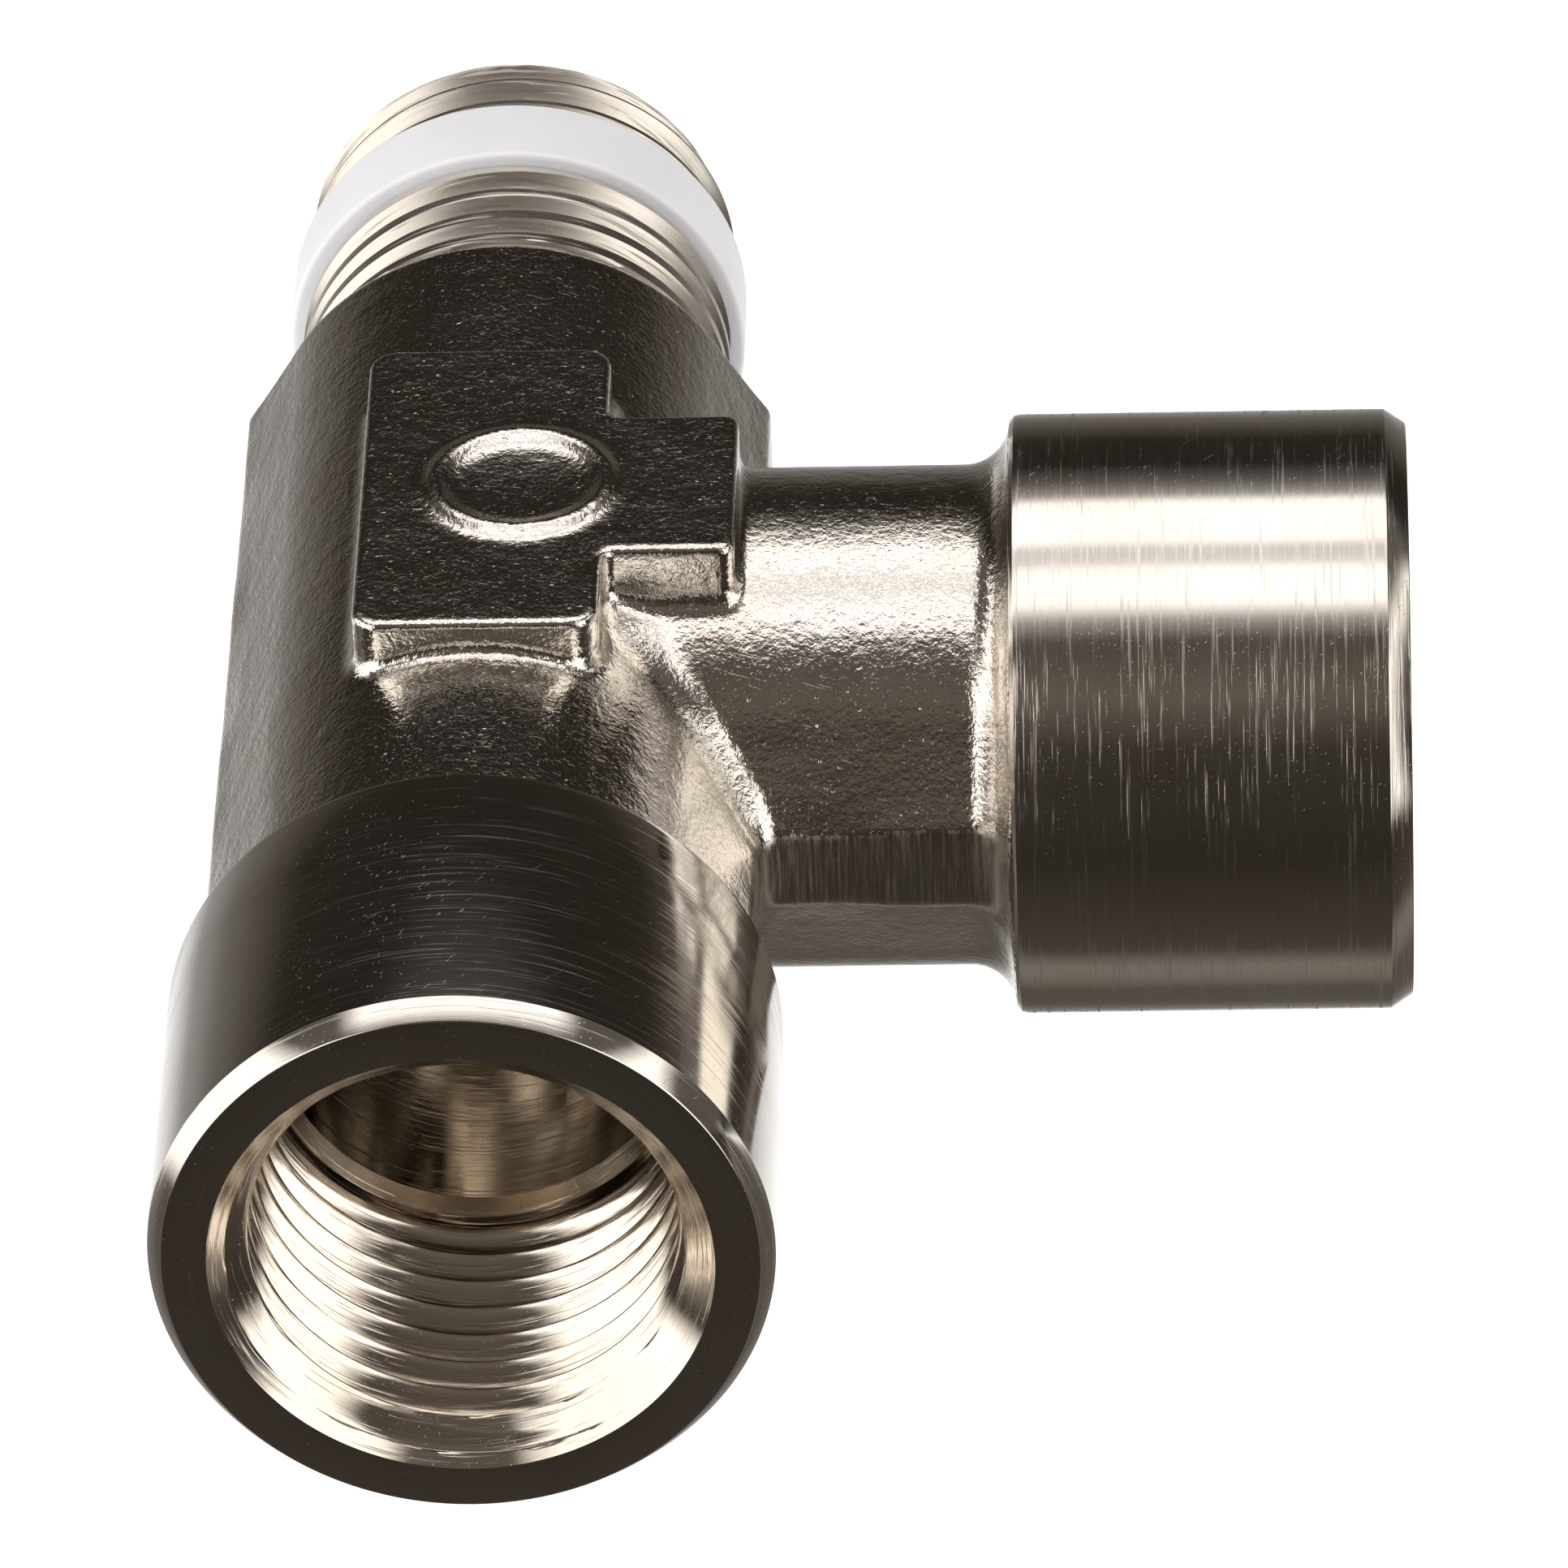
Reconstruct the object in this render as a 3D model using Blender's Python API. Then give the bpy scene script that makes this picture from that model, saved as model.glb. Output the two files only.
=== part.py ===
"""Male run tee, 1/8 inch pipe thread: forged and machined brass with a PTFE thread seal ring.

The run lies along Y: its threaded socket opens towards -Y and its male end points to +Y.
The branch is a second threaded socket that opens towards +X. The body is worked out about
the point where the two bores' axes cross, and an empty at that point stands the fitting on
the plane z = 0. All named sizes are millimetres.
"""

import math

import bmesh
import bpy

MM = 0.001

# How finely round shapes are faceted, and how far a cutter runs past the face that it opens.
SEGMENTS = 48
CORNER_STEPS = 4
NOTCH_STEPS = 3
COVE_STEPS = 6
OVERSHOOT = 1.0

# The 1/8 inch pipe thread, 28 turns to the inch.
PITCH = 25.4 / 28
THREAD_MAJOR = 9.728 / 2
THREAD_MINOR = 8.566 / 2
TAPER = 1 / 32

# The body: the ports' faces, the collars, the forged run and neck.
CENTRE_TO_FACE = 19.1
COLLAR_RADIUS = 6.25
COLLAR_LENGTH = 8.26
RIM_CHAMFER_RADIAL = 0.3
RIM_CHAMFER_AXIAL = 0.46
TUBE_RADIUS = 5.22
COVE = 0.95
COLLAR_BACK = CENTRE_TO_FACE - COLLAR_LENGTH

# The bores: a countersunk socket of full thread, then a plain drilled hole.
COUNTERSINK_RADIUS = 5.05
SOCKET_TURNS = 7
RUNOUT = 0.35
BORE_RADIUS = 4.0
RUN_BORE_END = 3.4
DRILL_POINT = 0.6
MALE_BORE_RADIUS = 3.0
BRANCH_BORE_START = 0.4

# The male end: shoulder, undercut, taper thread with the ring's groove, and the tip.
SHOULDER = 10.4
SHOULDER_CHAMFER = 0.15
UNDERCUT_RADIUS = 4.1
UNDERCUT_LENGTH = 0.75
TIP_CHAMFER = 0.5
GROOVE_START = 14.1
GROOVE_END = 16.75
GROOVE_RADIUS = 4.0
RING_GAP = 0.3
RING_OUTER_RADIUS = 4.93
RING_EDGE = 0.12

# The wrench pads: a T with its stem along the run and its arm out over the neck.
PAD_HEIGHT = 5.95
PAD_WIDTH = 5.05
PAD_HALF_LENGTH = 5.15
PAD_ARM_END = 5.25
PAD_CORNER = 0.6
PAD_NOTCH = 0.3

# The trimmed flash land around the forging's parting plane, and the drafted flanks that
# lead from it onto the round of the run and the neck.
LAND_OFFSET = 5.6
LAND_HALF_HEIGHT = 0.87
LAND_FLARE = 0.6
LAND_CORNER = 0.8
FLANK_OFFSET = 4.6
FLANK_HALF_HEIGHT = 2.2


def clear_scene():
    """Remove every object that is already in the scene."""
    for old in list(bpy.data.objects):
        bpy.data.objects.remove(old, do_unlink=True)


def material(name, colour, roughness, metallic):
    """Return a Principled material with one colour."""
    made = bpy.data.materials.new(name)
    made.use_nodes = True
    shader = made.node_tree.nodes["Principled BSDF"]
    shader.inputs["Base Color"].default_value = (*colour, 1.0)
    shader.inputs["Roughness"].default_value = roughness
    shader.inputs["Metallic"].default_value = metallic
    return made


def new_object(name, mesh_builder, finish=None):
    """Link a new object whose mesh is taken from a filled bmesh."""
    bmesh.ops.recalc_face_normals(mesh_builder, faces=mesh_builder.faces)
    mesh = bpy.data.meshes.new(name)
    mesh_builder.to_mesh(mesh)
    mesh_builder.free()
    mesh.shade_smooth()
    mesh.set_sharp_from_angle(angle=math.radians(30))
    made = bpy.data.objects.new(name, mesh)
    bpy.context.collection.objects.link(made)
    if finish is not None:
        mesh.materials.append(finish)
    return made


def turned(name, outline, axis="Y", hollow=False, finish=None):
    """Turn an outline of (place on the axis, radius) points into a closed solid.

    A hollow outline is a closed loop, such as a ring's section. Any other outline runs from
    one end of the solid to the other and gets a flat cap at each end.
    """
    shape = bmesh.new()
    rings = []
    for place, radius in outline:
        ring = []
        for step in range(SEGMENTS):
            angle = 2 * math.pi * step / SEGMENTS
            across = radius * math.cos(angle) * MM
            up = radius * math.sin(angle) * MM
            along = place * MM
            point = (across, along, up) if axis == "Y" else (along, across, up)
            ring.append(shape.verts.new(point))
        rings.append(ring)
    following = rings[1:] + rings[:1] if hollow else rings[1:]
    for ring, after in zip(rings, following):
        for step in range(SEGMENTS):
            beside = (step + 1) % SEGMENTS
            shape.faces.new((ring[step], ring[beside], after[beside], after[step]))
    if not hollow:
        shape.faces.new(rings[0])
        shape.faces.new(rings[-1])
    return new_object(name, shape, finish)


def arc(centre, radius, start, end, steps):
    """Return points on an arc in the plane, with its angles in degrees."""
    points = []
    for step in range(steps + 1):
        angle = math.radians(start + (end - start) * step / steps)
        points.append((centre[0] + radius * math.cos(angle), centre[1] + radius * math.sin(angle)))
    return points


def layered(name, levels):
    """Join plan outlines of (x, y) points, each at its own height, into a closed solid."""
    shape = bmesh.new()
    loops = []
    for height, outline in levels:
        loops.append([shape.verts.new((x * MM, y * MM, height * MM)) for x, y in outline])
    for loop, above in zip(loops, loops[1:]):
        for step, corner in enumerate(loop):
            beside = (step + 1) % len(loop)
            shape.faces.new((corner, loop[beside], above[beside], above[step]))
    shape.faces.new(loops[0])
    shape.faces.new(loops[-1])
    return new_object(name, shape)


def as_tool(tool, body, operation):
    """Make one object a hidden Boolean operand of the body."""
    tool.hide_render = True
    tool.display_type = "WIRE"
    step = body.modifiers.new(tool.name, "BOOLEAN")
    step.operation = operation
    step.solver = "EXACT"
    step.object = tool


def collar_outline():
    """Return the outline of a collar, from its port face to its back shoulder's cove."""
    points = [
        (CENTRE_TO_FACE, COLLAR_RADIUS - RIM_CHAMFER_RADIAL),
        (CENTRE_TO_FACE - RIM_CHAMFER_AXIAL, COLLAR_RADIUS),
        (COLLAR_BACK, COLLAR_RADIUS),
    ]
    centre = (COLLAR_BACK - COVE, TUBE_RADIUS + COVE)
    points += arc(centre, COVE, 0, -90, COVE_STEPS)
    return points


def male_thread_outline():
    """Return the male end's outline from its shoulder to its tip.

    Crests and roots alternate at half the pitch, and the groove for the seal ring
    interrupts them. The radius shrinks towards the tip with the thread's taper.
    """
    thread_start = SHOULDER + UNDERCUT_LENGTH
    chamfer_start = CENTRE_TO_FACE - TIP_CHAMFER
    points = [
        (SHOULDER - SHOULDER_CHAMFER, TUBE_RADIUS),
        (SHOULDER, TUBE_RADIUS - SHOULDER_CHAMFER),
        (SHOULDER, UNDERCUT_RADIUS),
        (thread_start, UNDERCUT_RADIUS),
    ]
    place = thread_start + PITCH / 2
    crest = True
    grooved = False
    while place < chamfer_start:
        in_groove = GROOVE_START - PITCH / 4 < place < GROOVE_END + PITCH / 4
        if in_groove and not grooved:
            points += [
                (GROOVE_START, THREAD_MINOR),
                (GROOVE_START, GROOVE_RADIUS),
                (GROOVE_END, GROOVE_RADIUS),
                (GROOVE_END, THREAD_MINOR),
            ]
            grooved = True
        if not in_groove:
            radius = THREAD_MAJOR if crest else THREAD_MINOR
            points.append((place, radius - TAPER * (place - thread_start)))
        crest = not crest
        place += PITCH / 2
    tip_radius = THREAD_MAJOR - TAPER * (chamfer_start - thread_start)
    points += [(chamfer_start, tip_radius), (CENTRE_TO_FACE, tip_radius - TIP_CHAMFER)]
    return points


def socket_outline(far_end):
    """Return the outline of a socket's bore, from outside its face to its plain far end."""
    outside = CENTRE_TO_FACE + OVERSHOOT
    depth = COUNTERSINK_RADIUS - THREAD_MINOR
    start = CENTRE_TO_FACE - depth
    points = [
        (outside, COUNTERSINK_RADIUS),
        (CENTRE_TO_FACE, COUNTERSINK_RADIUS),
        (start, THREAD_MINOR),
    ]
    for turn in range(SOCKET_TURNS):
        points.append((start - (turn + 0.5) * PITCH, THREAD_MAJOR))
        points.append((start - (turn + 1) * PITCH, THREAD_MINOR))
    thread_end = start - SOCKET_TURNS * PITCH - RUNOUT
    points += [
        (thread_end, THREAD_MINOR),
        (thread_end - (THREAD_MINOR - BORE_RADIUS), BORE_RADIUS),
        (far_end, BORE_RADIUS),
    ]
    return points


def pad_outline():
    """Return the wrench pads' T outline, counter-clockwise from the stem's front left."""
    half = PAD_WIDTH / 2
    corner = PAD_CORNER
    notch = PAD_NOTCH
    points = arc((-half + corner, -PAD_HALF_LENGTH + corner), corner, 180, 270, CORNER_STEPS)
    points += arc((half - corner, -PAD_HALF_LENGTH + corner), corner, 270, 360, CORNER_STEPS)
    points += arc((half + notch, -half - notch), notch, 180, 90, NOTCH_STEPS)
    points += arc((PAD_ARM_END - notch, -half + notch), notch, 270, 360, NOTCH_STEPS)
    points += arc((PAD_ARM_END - notch, half - notch), notch, 0, 90, NOTCH_STEPS)
    points += arc((half + notch, half + notch), notch, 270, 180, NOTCH_STEPS)
    points += arc((half - corner, PAD_HALF_LENGTH - corner), corner, 0, 90, CORNER_STEPS)
    points += arc((-half + corner, PAD_HALF_LENGTH - corner), corner, 90, 180, CORNER_STEPS)
    return points


def land_outline(out):
    """Return a plan outline around the run and neck, at a distance from their axes.

    It goes counter-clockwise from the run collar's left, flares out where it meets the two
    collars, and rounds the two inner corners between the run and the neck.
    """
    flared = out + LAND_FLARE
    into_collar = COLLAR_BACK + LAND_FLARE
    flare_start = COLLAR_BACK - LAND_FLARE
    far = SHOULDER - SHOULDER_CHAMFER
    corner_centre = LAND_OFFSET + LAND_CORNER
    corner = corner_centre - out
    points = [(-flared, -into_collar), (flared, -into_collar)]
    points += [(flared, -COLLAR_BACK), (out, -flare_start)]
    points += arc((corner_centre, -corner_centre), corner, 180, 90, CORNER_STEPS)
    points += [(flare_start, -out), (COLLAR_BACK, -flared), (into_collar, -flared)]
    points += [(into_collar, flared), (COLLAR_BACK, flared), (flare_start, out)]
    points += arc((corner_centre, corner_centre), corner, 270, 180, CORNER_STEPS)
    points += [(out, far), (-out, far), (-out, -flare_start), (-flared, -COLLAR_BACK)]
    return points


def land_levels():
    """Return the flash land's levels: an upright rim with a drafted flank above and below."""
    rim = land_outline(LAND_OFFSET)
    flank = land_outline(FLANK_OFFSET)
    return [
        (-FLANK_HALF_HEIGHT, flank),
        (-LAND_HALF_HEIGHT, rim),
        (LAND_HALF_HEIGHT, rim),
        (FLANK_HALF_HEIGHT, flank),
    ]


def tee_body(finish):
    """Build the forging: run, neck and collars, wrench pads, flash land, bores and threads."""
    run = [(-place, radius) for place, radius in collar_outline()] + male_thread_outline()
    body = turned("tee_body", run, finish=finish)
    branch = [(0.0, TUBE_RADIUS)] + collar_outline()[::-1]
    as_tool(turned("branch_stock", branch, axis="X"), body, "UNION")
    pads = [(-PAD_HEIGHT, pad_outline()), (PAD_HEIGHT, pad_outline())]
    as_tool(layered("pad_stock", pads), body, "UNION")
    as_tool(layered("land_stock", land_levels()), body, "UNION")
    run_bore = [(-place, radius) for place, radius in socket_outline(-RUN_BORE_END)]
    run_bore += [
        (RUN_BORE_END + DRILL_POINT, MALE_BORE_RADIUS),
        (CENTRE_TO_FACE + OVERSHOOT, MALE_BORE_RADIUS),
    ]
    as_tool(turned("run_bore", run_bore), body, "DIFFERENCE")
    branch_bore = socket_outline(BRANCH_BORE_START)
    as_tool(turned("branch_bore", branch_bore, axis="X"), body, "DIFFERENCE")
    return body


def thread_seal_ring(finish):
    """Build the smooth ring that sits in the male thread's groove."""
    start = GROOVE_START + RING_GAP
    end = GROOVE_END - RING_GAP
    inner = GROOVE_RADIUS + RING_GAP
    section = [
        (start, inner),
        (start, RING_OUTER_RADIUS - RING_EDGE),
        (start + RING_EDGE, RING_OUTER_RADIUS),
        (end - RING_EDGE, RING_OUTER_RADIUS),
        (end, RING_OUTER_RADIUS - RING_EDGE),
        (end, inner),
    ]
    return turned("thread_seal_ring", section, hollow=True, finish=finish)


def build():
    """Build the fitting and stand it on z = 0 with its box centred on the origin."""
    clear_scene()
    nickel = material("nickel_plate", (0.62, 0.59, 0.55), 0.22, 1.0)
    ptfe = material("white_ptfe", (0.86, 0.86, 0.87), 0.45, 0.0)
    centre = bpy.data.objects.new("tee_centre", None)
    bpy.context.collection.objects.link(centre)
    tee_body(nickel)
    thread_seal_ring(ptfe)
    for made in bpy.data.objects:
        if made is not centre:
            made.parent = centre
    box_centre = (CENTRE_TO_FACE - COLLAR_RADIUS) / 2
    centre.location = (-box_centre * MM, 0, COLLAR_RADIUS * MM)


build()
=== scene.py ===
"""Looks of the male run tee: a nickel plated brass forging with a white PTFE thread seal ring.

Shapes are worked out in millimetres about the tee's centre, where the run's axis (along Y)
and the branch's axis (along X) cross. Each piece's own origin is put at that point.
"""

import math

import bmesh
import bpy
import numpy as np
from mathutils import Matrix, Vector


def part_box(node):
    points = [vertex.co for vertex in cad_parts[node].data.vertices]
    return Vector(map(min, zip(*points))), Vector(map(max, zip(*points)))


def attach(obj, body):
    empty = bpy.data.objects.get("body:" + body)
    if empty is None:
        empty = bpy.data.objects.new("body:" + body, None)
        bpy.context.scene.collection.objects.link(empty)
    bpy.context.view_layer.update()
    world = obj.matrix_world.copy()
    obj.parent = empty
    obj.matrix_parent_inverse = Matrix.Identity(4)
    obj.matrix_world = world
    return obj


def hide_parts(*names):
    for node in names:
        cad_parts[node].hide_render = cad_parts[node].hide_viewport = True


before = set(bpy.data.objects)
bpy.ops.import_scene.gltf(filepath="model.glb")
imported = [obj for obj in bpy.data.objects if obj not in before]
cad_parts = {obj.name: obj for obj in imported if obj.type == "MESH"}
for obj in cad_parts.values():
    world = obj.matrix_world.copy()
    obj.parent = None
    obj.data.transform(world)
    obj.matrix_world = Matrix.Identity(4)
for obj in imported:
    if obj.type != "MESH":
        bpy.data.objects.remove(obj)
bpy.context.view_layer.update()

MM = 0.001
body_low, body_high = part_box("tee_body")
ring_low, ring_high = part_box("thread_seal_ring")

# Driving sizes read from the frame.
COLLAR_RADIUS = (body_high.z - body_low.z) / 2 / MM
CENTRE_TO_FACE = (body_high.y - body_low.y) / 2 / MM
CENTRE = Vector((body_low.x + COLLAR_RADIUS * MM, 0, body_low.z + COLLAR_RADIUS * MM))
RING_START = ring_low.y / MM
RING_END = ring_high.y / MM
RING_RADIUS = (ring_high.z - ring_low.z) / 2 / MM

# The collars, the forged run and neck, and the fillets between them. CORE is the part of the
# forging that reaches into a collar.
COLLAR_BACK = CENTRE_TO_FACE - 8.26
TUBE_RADIUS = 5.22
CORE_RADIUS = COLLAR_RADIUS - 0.15
CORE_DEPTH = 1.2
CORE_OVERLAP = 0.6
FLUSH = 0.01
COVE = 0.95
CROTCH_FILLET = 0.65
RIM_CHAMFER_RADIAL = 0.3
RIM_CHAMFER_AXIAL = 0.46
TURNED_EDGE = 0.06
COLLAR_BACK_EDGE = 0.25
RIM_OVERLAP = 0.3

# The 1/8 inch pipe thread and the sockets.
PITCH = 25.4 / 28
THREAD_MAJOR = 4.864
THREAD_MINOR = 4.283
TAPER = 1 / 32
CREST_SHARPNESS = 0.95
COUNTERSINK_RADIUS = 5.05
THREAD_END = CENTRE_TO_FACE - (COUNTERSINK_RADIUS - THREAD_MINOR) - 7 * PITCH - 0.35
BORE_RADIUS = 4.0
RUN_BORE_END = 3.4
DRILL_POINT = 0.6
MALE_BORE_RADIUS = 3.0
MALE_BORE_MOUTH = MALE_BORE_RADIUS + 0.3
MALE_BORE_CHAMFER = 0.2
CHAMFER_OVERSHOOT = 0.1
BRANCH_BORE_START = 0.4
SOCKET_OVERSHOOT = 0.4

# The male end.
SHOULDER = 10.4
SHOULDER_EDGE = 0.2
UNDERCUT_RADIUS = 4.1
UNDERCUT_END = SHOULDER + 0.75
UNDERCUT_RAMP = 0.2
MALE_END_BURIED = 1.0
TIP_CHAMFER = 0.5
RING_CLEARANCE = 0.02
RING_EDGE = 0.14
RING_SEAM = 0.01
GROOVE_RADIUS = 4.0

# The wrench pads, with a round mark on the upper one.
PAD_HEIGHT = 5.95
PAD_HALF_WIDTH = 2.525
PAD_HALF_LENGTH = 5.15
PAD_ARM_END = 5.25
PAD_CORNER = 0.6
PAD_NOTCH = 0.3
PAD_EDGE = 0.16
PAD_FILLET = 0.32
MARK_X = 0.8
MARK_RADIUS = 1.78
MARK_BEAD_WIDTH = 0.25
MARK_BEAD_HEIGHT = 0.2
MARK_DISH_RADIUS = 1.45
MARK_DISH_DEPTH = 0.08

# The trimmed flash land and the drafted flanks beside it.
LAND_OFFSET = 5.6
LAND_HALF_HEIGHT = 0.87
LAND_EDGE = 0.05
LAND_BLEND = 0.4
LAND_WAVES = [
    # height, turns in radians to the millimetre, phase
    (0.06, 0.9, -1.2),
    (0.024, 2.3, 1.0),
]
FLANK_TURN = math.atan2(LAND_HALF_HEIGHT, LAND_OFFSET) + math.acos(
    TUBE_RADIUS / math.hypot(LAND_HALF_HEIGHT, LAND_OFFSET)
)

# Mesh steps, and what tells the land's and the shoulder's faces from the rest.
CELL = 0.1
MARGIN = 3 * CELL
RELAX_ROUNDS = 2
PULLS_PER_ROUND = 3
TURNS = 256
THREAD_TURNS = 192
THREAD_ROWS = 30
CREASE_ANGLE = 32
LAND_TILT = 0.3
LAND_EDGE_REACH = 0.1
SHOULDER_TILT = 0.8
SHOULDER_DEPTH = 0.05

FORGED, TRIMMED, TURNED_RUN, TURNED_BRANCH, THREADED, BORED_RUN, BORED_BRANCH = range(7)
TOWARDS_BRANCH = Matrix.Rotation(math.radians(90), 3, "Y")
TOWARDS_SOCKET = Matrix.Rotation(math.radians(90), 3, "X")
TOWARDS_MALE_END = Matrix.Rotation(math.radians(-90), 3, "X")


# ---------------------------------------------------------------- distance fields


def fade(places, start, end):
    """Return a smooth rise from 0 at start to 1 at end."""
    part = np.clip((places - start) / (end - start), 0, 1)
    return part * part * (3 - 2 * part)


def rounded_union(first, second, radius):
    """Join two distance fields with a fillet of the given radius."""
    corner = np.hypot(np.maximum(radius - first, 0), np.maximum(radius - second, 0))
    return np.maximum(radius, np.minimum(first, second)) - corner


def rounded_cut(first, second, radius):
    """Keep what is inside both distance fields, with a rounded edge."""
    corner = np.hypot(np.maximum(radius + first, 0), np.maximum(radius + second, 0))
    return np.minimum(-radius, np.maximum(first, second)) + corner


def rounded_box(x, y, half_x, half_y, radius):
    """Return the plan distance to a box with rounded corners."""
    over_x = np.abs(x) - half_x + radius
    over_y = np.abs(y) - half_y + radius
    outside = np.hypot(np.maximum(over_x, 0), np.maximum(over_y, 0))
    return outside + np.minimum(np.maximum(over_x, over_y), 0) - radius


def stock_field(across, along, z):
    """Return the distance to round stock with the flash land along both of its sides.

    The land is an upright rim, and its drafted flanks run tangentially onto the round.
    """
    wave = sum(size * np.sin(turns * along + phase) for size, turns, phase in LAND_WAVES)
    outward = np.clip(np.abs(across) - TUBE_RADIUS, 0, LAND_BLEND) / LAND_BLEND
    height = np.abs(z) - wave * outward
    rim = np.abs(across) - LAND_OFFSET
    flank = (
        np.abs(across) * math.cos(FLANK_TURN) + height * math.sin(FLANK_TURN) - TUBE_RADIUS
    )
    land = rounded_cut(rim, flank, LAND_EDGE)
    land = np.maximum(land, np.abs(z) - TUBE_RADIUS * math.sin(FLANK_TURN))
    return np.minimum(np.hypot(across, z) - TUBE_RADIUS, land)


def pad_field(x, y, z):
    """Return the distance to the T-shaped wrench pads and the round mark on the upper one."""
    stem = rounded_box(x, y, PAD_HALF_WIDTH, PAD_HALF_LENGTH, PAD_CORNER)
    middle = PAD_ARM_END / 2
    arm = rounded_box(x - middle, y, middle, PAD_HALF_WIDTH, PAD_NOTCH)
    plan = rounded_union(stem, arm, PAD_NOTCH)
    reach = np.hypot(x - MARK_X, y)
    bead = MARK_BEAD_HEIGHT * np.exp(-((reach - MARK_RADIUS) / MARK_BEAD_WIDTH) ** 2)
    dish = MARK_DISH_DEPTH * np.clip(1 - (reach / MARK_DISH_RADIUS) ** 2, 0, 1)
    relief = np.where(z > 0, bead - dish, 0)
    return rounded_cut(plan, np.abs(z) - PAD_HEIGHT - relief, PAD_EDGE)


def forged_field(points):
    """Return the distance to the whole forging, from run and neck to the collars' cores."""
    x, y, z = points.T
    buried = COLLAR_BACK + CORE_DEPTH
    from_run = np.hypot(x, z)
    from_branch = np.hypot(y, z)
    tube = rounded_cut(stock_field(x, y, z), y - SHOULDER, SHOULDER_EDGE)
    tube = np.maximum(tube, -y - buried)
    neck = np.maximum(stock_field(y, x, z), np.maximum(-x, x - buried))
    body = rounded_union(tube, neck, CROTCH_FILLET)
    body = rounded_union(body, pad_field(x, y, z), PAD_FILLET)
    core_start = COLLAR_BACK + FLUSH
    run_slab = np.maximum(core_start + y, -y - buried)
    run_core = np.maximum(from_run - CORE_RADIUS, run_slab)
    branch_slab = np.maximum(core_start - x, x - buried)
    branch_core = np.maximum(from_branch - CORE_RADIUS, branch_slab)
    body = rounded_union(body, run_core, COVE)
    return rounded_union(body, branch_core, COVE)


def gradient(field, points):
    """Return a distance field's unit gradient at each point."""
    step = CELL / 10
    slopes = np.empty_like(points)
    for axis in range(3):
        shift = np.zeros(3)
        shift[axis] = step
        slopes[:, axis] = field(points + shift) - field(points - shift)
    return slopes / np.maximum(np.linalg.norm(slopes, axis=1, keepdims=True), 1e-9)


def surface_net(field, low, high):
    """Return the points and quads of a distance field's zero surface, one point per cell."""
    counts = np.ceil((high - low) / CELL).astype(int) + 1
    axes = [low[axis] + CELL * np.arange(counts[axis]) for axis in range(3)]
    grid = np.stack(np.meshgrid(*axes, indexing="ij"), -1).reshape(-1, 3)
    values = field(grid).reshape(counts)
    cells = tuple(counts - 1)
    total = np.zeros(cells + (3,))
    hits = np.zeros(cells)
    crossings = []
    for axis in range(3):
        first = np.take(values, range(counts[axis] - 1), axis)
        second = np.take(values, range(1, counts[axis]), axis)
        crossing = (first < 0) != (second < 0)
        part = np.where(crossing, first / np.where(crossing, first - second, 1), 0)
        crossings.append((crossing, first < 0))
        beside, across = [other for other in range(3) if other != axis]
        for near in (0, 1):
            for far in (0, 1):
                pick = [slice(None)] * 3
                pick[beside] = slice(near, near + counts[beside] - 1)
                pick[across] = slice(far, far + counts[across] - 1)
                here = crossing[tuple(pick)]
                hits += here
                total[..., axis] += part[tuple(pick)]
                total[..., beside] += near * here
                total[..., across] += far * here
    used = hits > 0
    number = np.full(cells, -1)
    number[used] = np.arange(used.sum())
    points = low + CELL * (np.argwhere(used) + total[used] / hits[used][:, None])
    quads = []
    for axis, (crossing, inside) in enumerate(crossings):
        beside, across = (axis + 1) % 3, (axis + 2) % 3
        places = np.argwhere(crossing)
        keep = (places[:, beside] > 0) & (places[:, across] > 0)
        places = places[keep]
        ring = []
        for back, down in ((0, 0), (1, 0), (1, 1), (0, 1)):
            around = places.copy()
            around[:, beside] -= back
            around[:, across] -= down
            ring.append(number[tuple(around.T)])
        quad = np.stack(ring, 1)
        outward = inside[tuple(places.T)]
        quad[~outward] = quad[~outward][:, ::-1]
        quads.append(quad)
    return points, np.concatenate(quads)


def relaxed(field, points, quads, rounds):
    """Even out a surface net and pull its points onto the field's zero surface."""
    starts = quads.reshape(-1)
    ends = np.roll(quads, -1, axis=1).reshape(-1)
    degree = np.bincount(starts, minlength=len(points)) + np.bincount(ends, minlength=len(points))
    for turn in range(rounds + 1):
        if turn > 0:
            total = np.zeros_like(points)
            np.add.at(total, starts, points[ends])
            np.add.at(total, ends, points[starts])
            points = (points + total / degree[:, None]) / 2
        for _ in range(PULLS_PER_ROUND):
            slope = gradient(field, points)
            points = points - slope * np.clip(field(points), -CELL, CELL)[:, None]
    return points


# ---------------------------------------------------------------- mesh helpers


def mesh_object(name, points, faces, finish_numbers, finishes):
    """Link a new object with points in millimetres and a finish number for each face."""
    mesh = bpy.data.meshes.new(name)
    mesh.from_pydata((np.asarray(points) * MM).tolist(), [], faces)
    for finish in finishes:
        mesh.materials.append(finish)
    numbers = np.broadcast_to(finish_numbers, len(faces)).astype(np.int32)
    mesh.polygons.foreach_set("material_index", numbers)
    mesh.shade_smooth()
    made = bpy.data.objects.new(name, mesh)
    bpy.context.scene.collection.objects.link(made)
    return made


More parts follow.
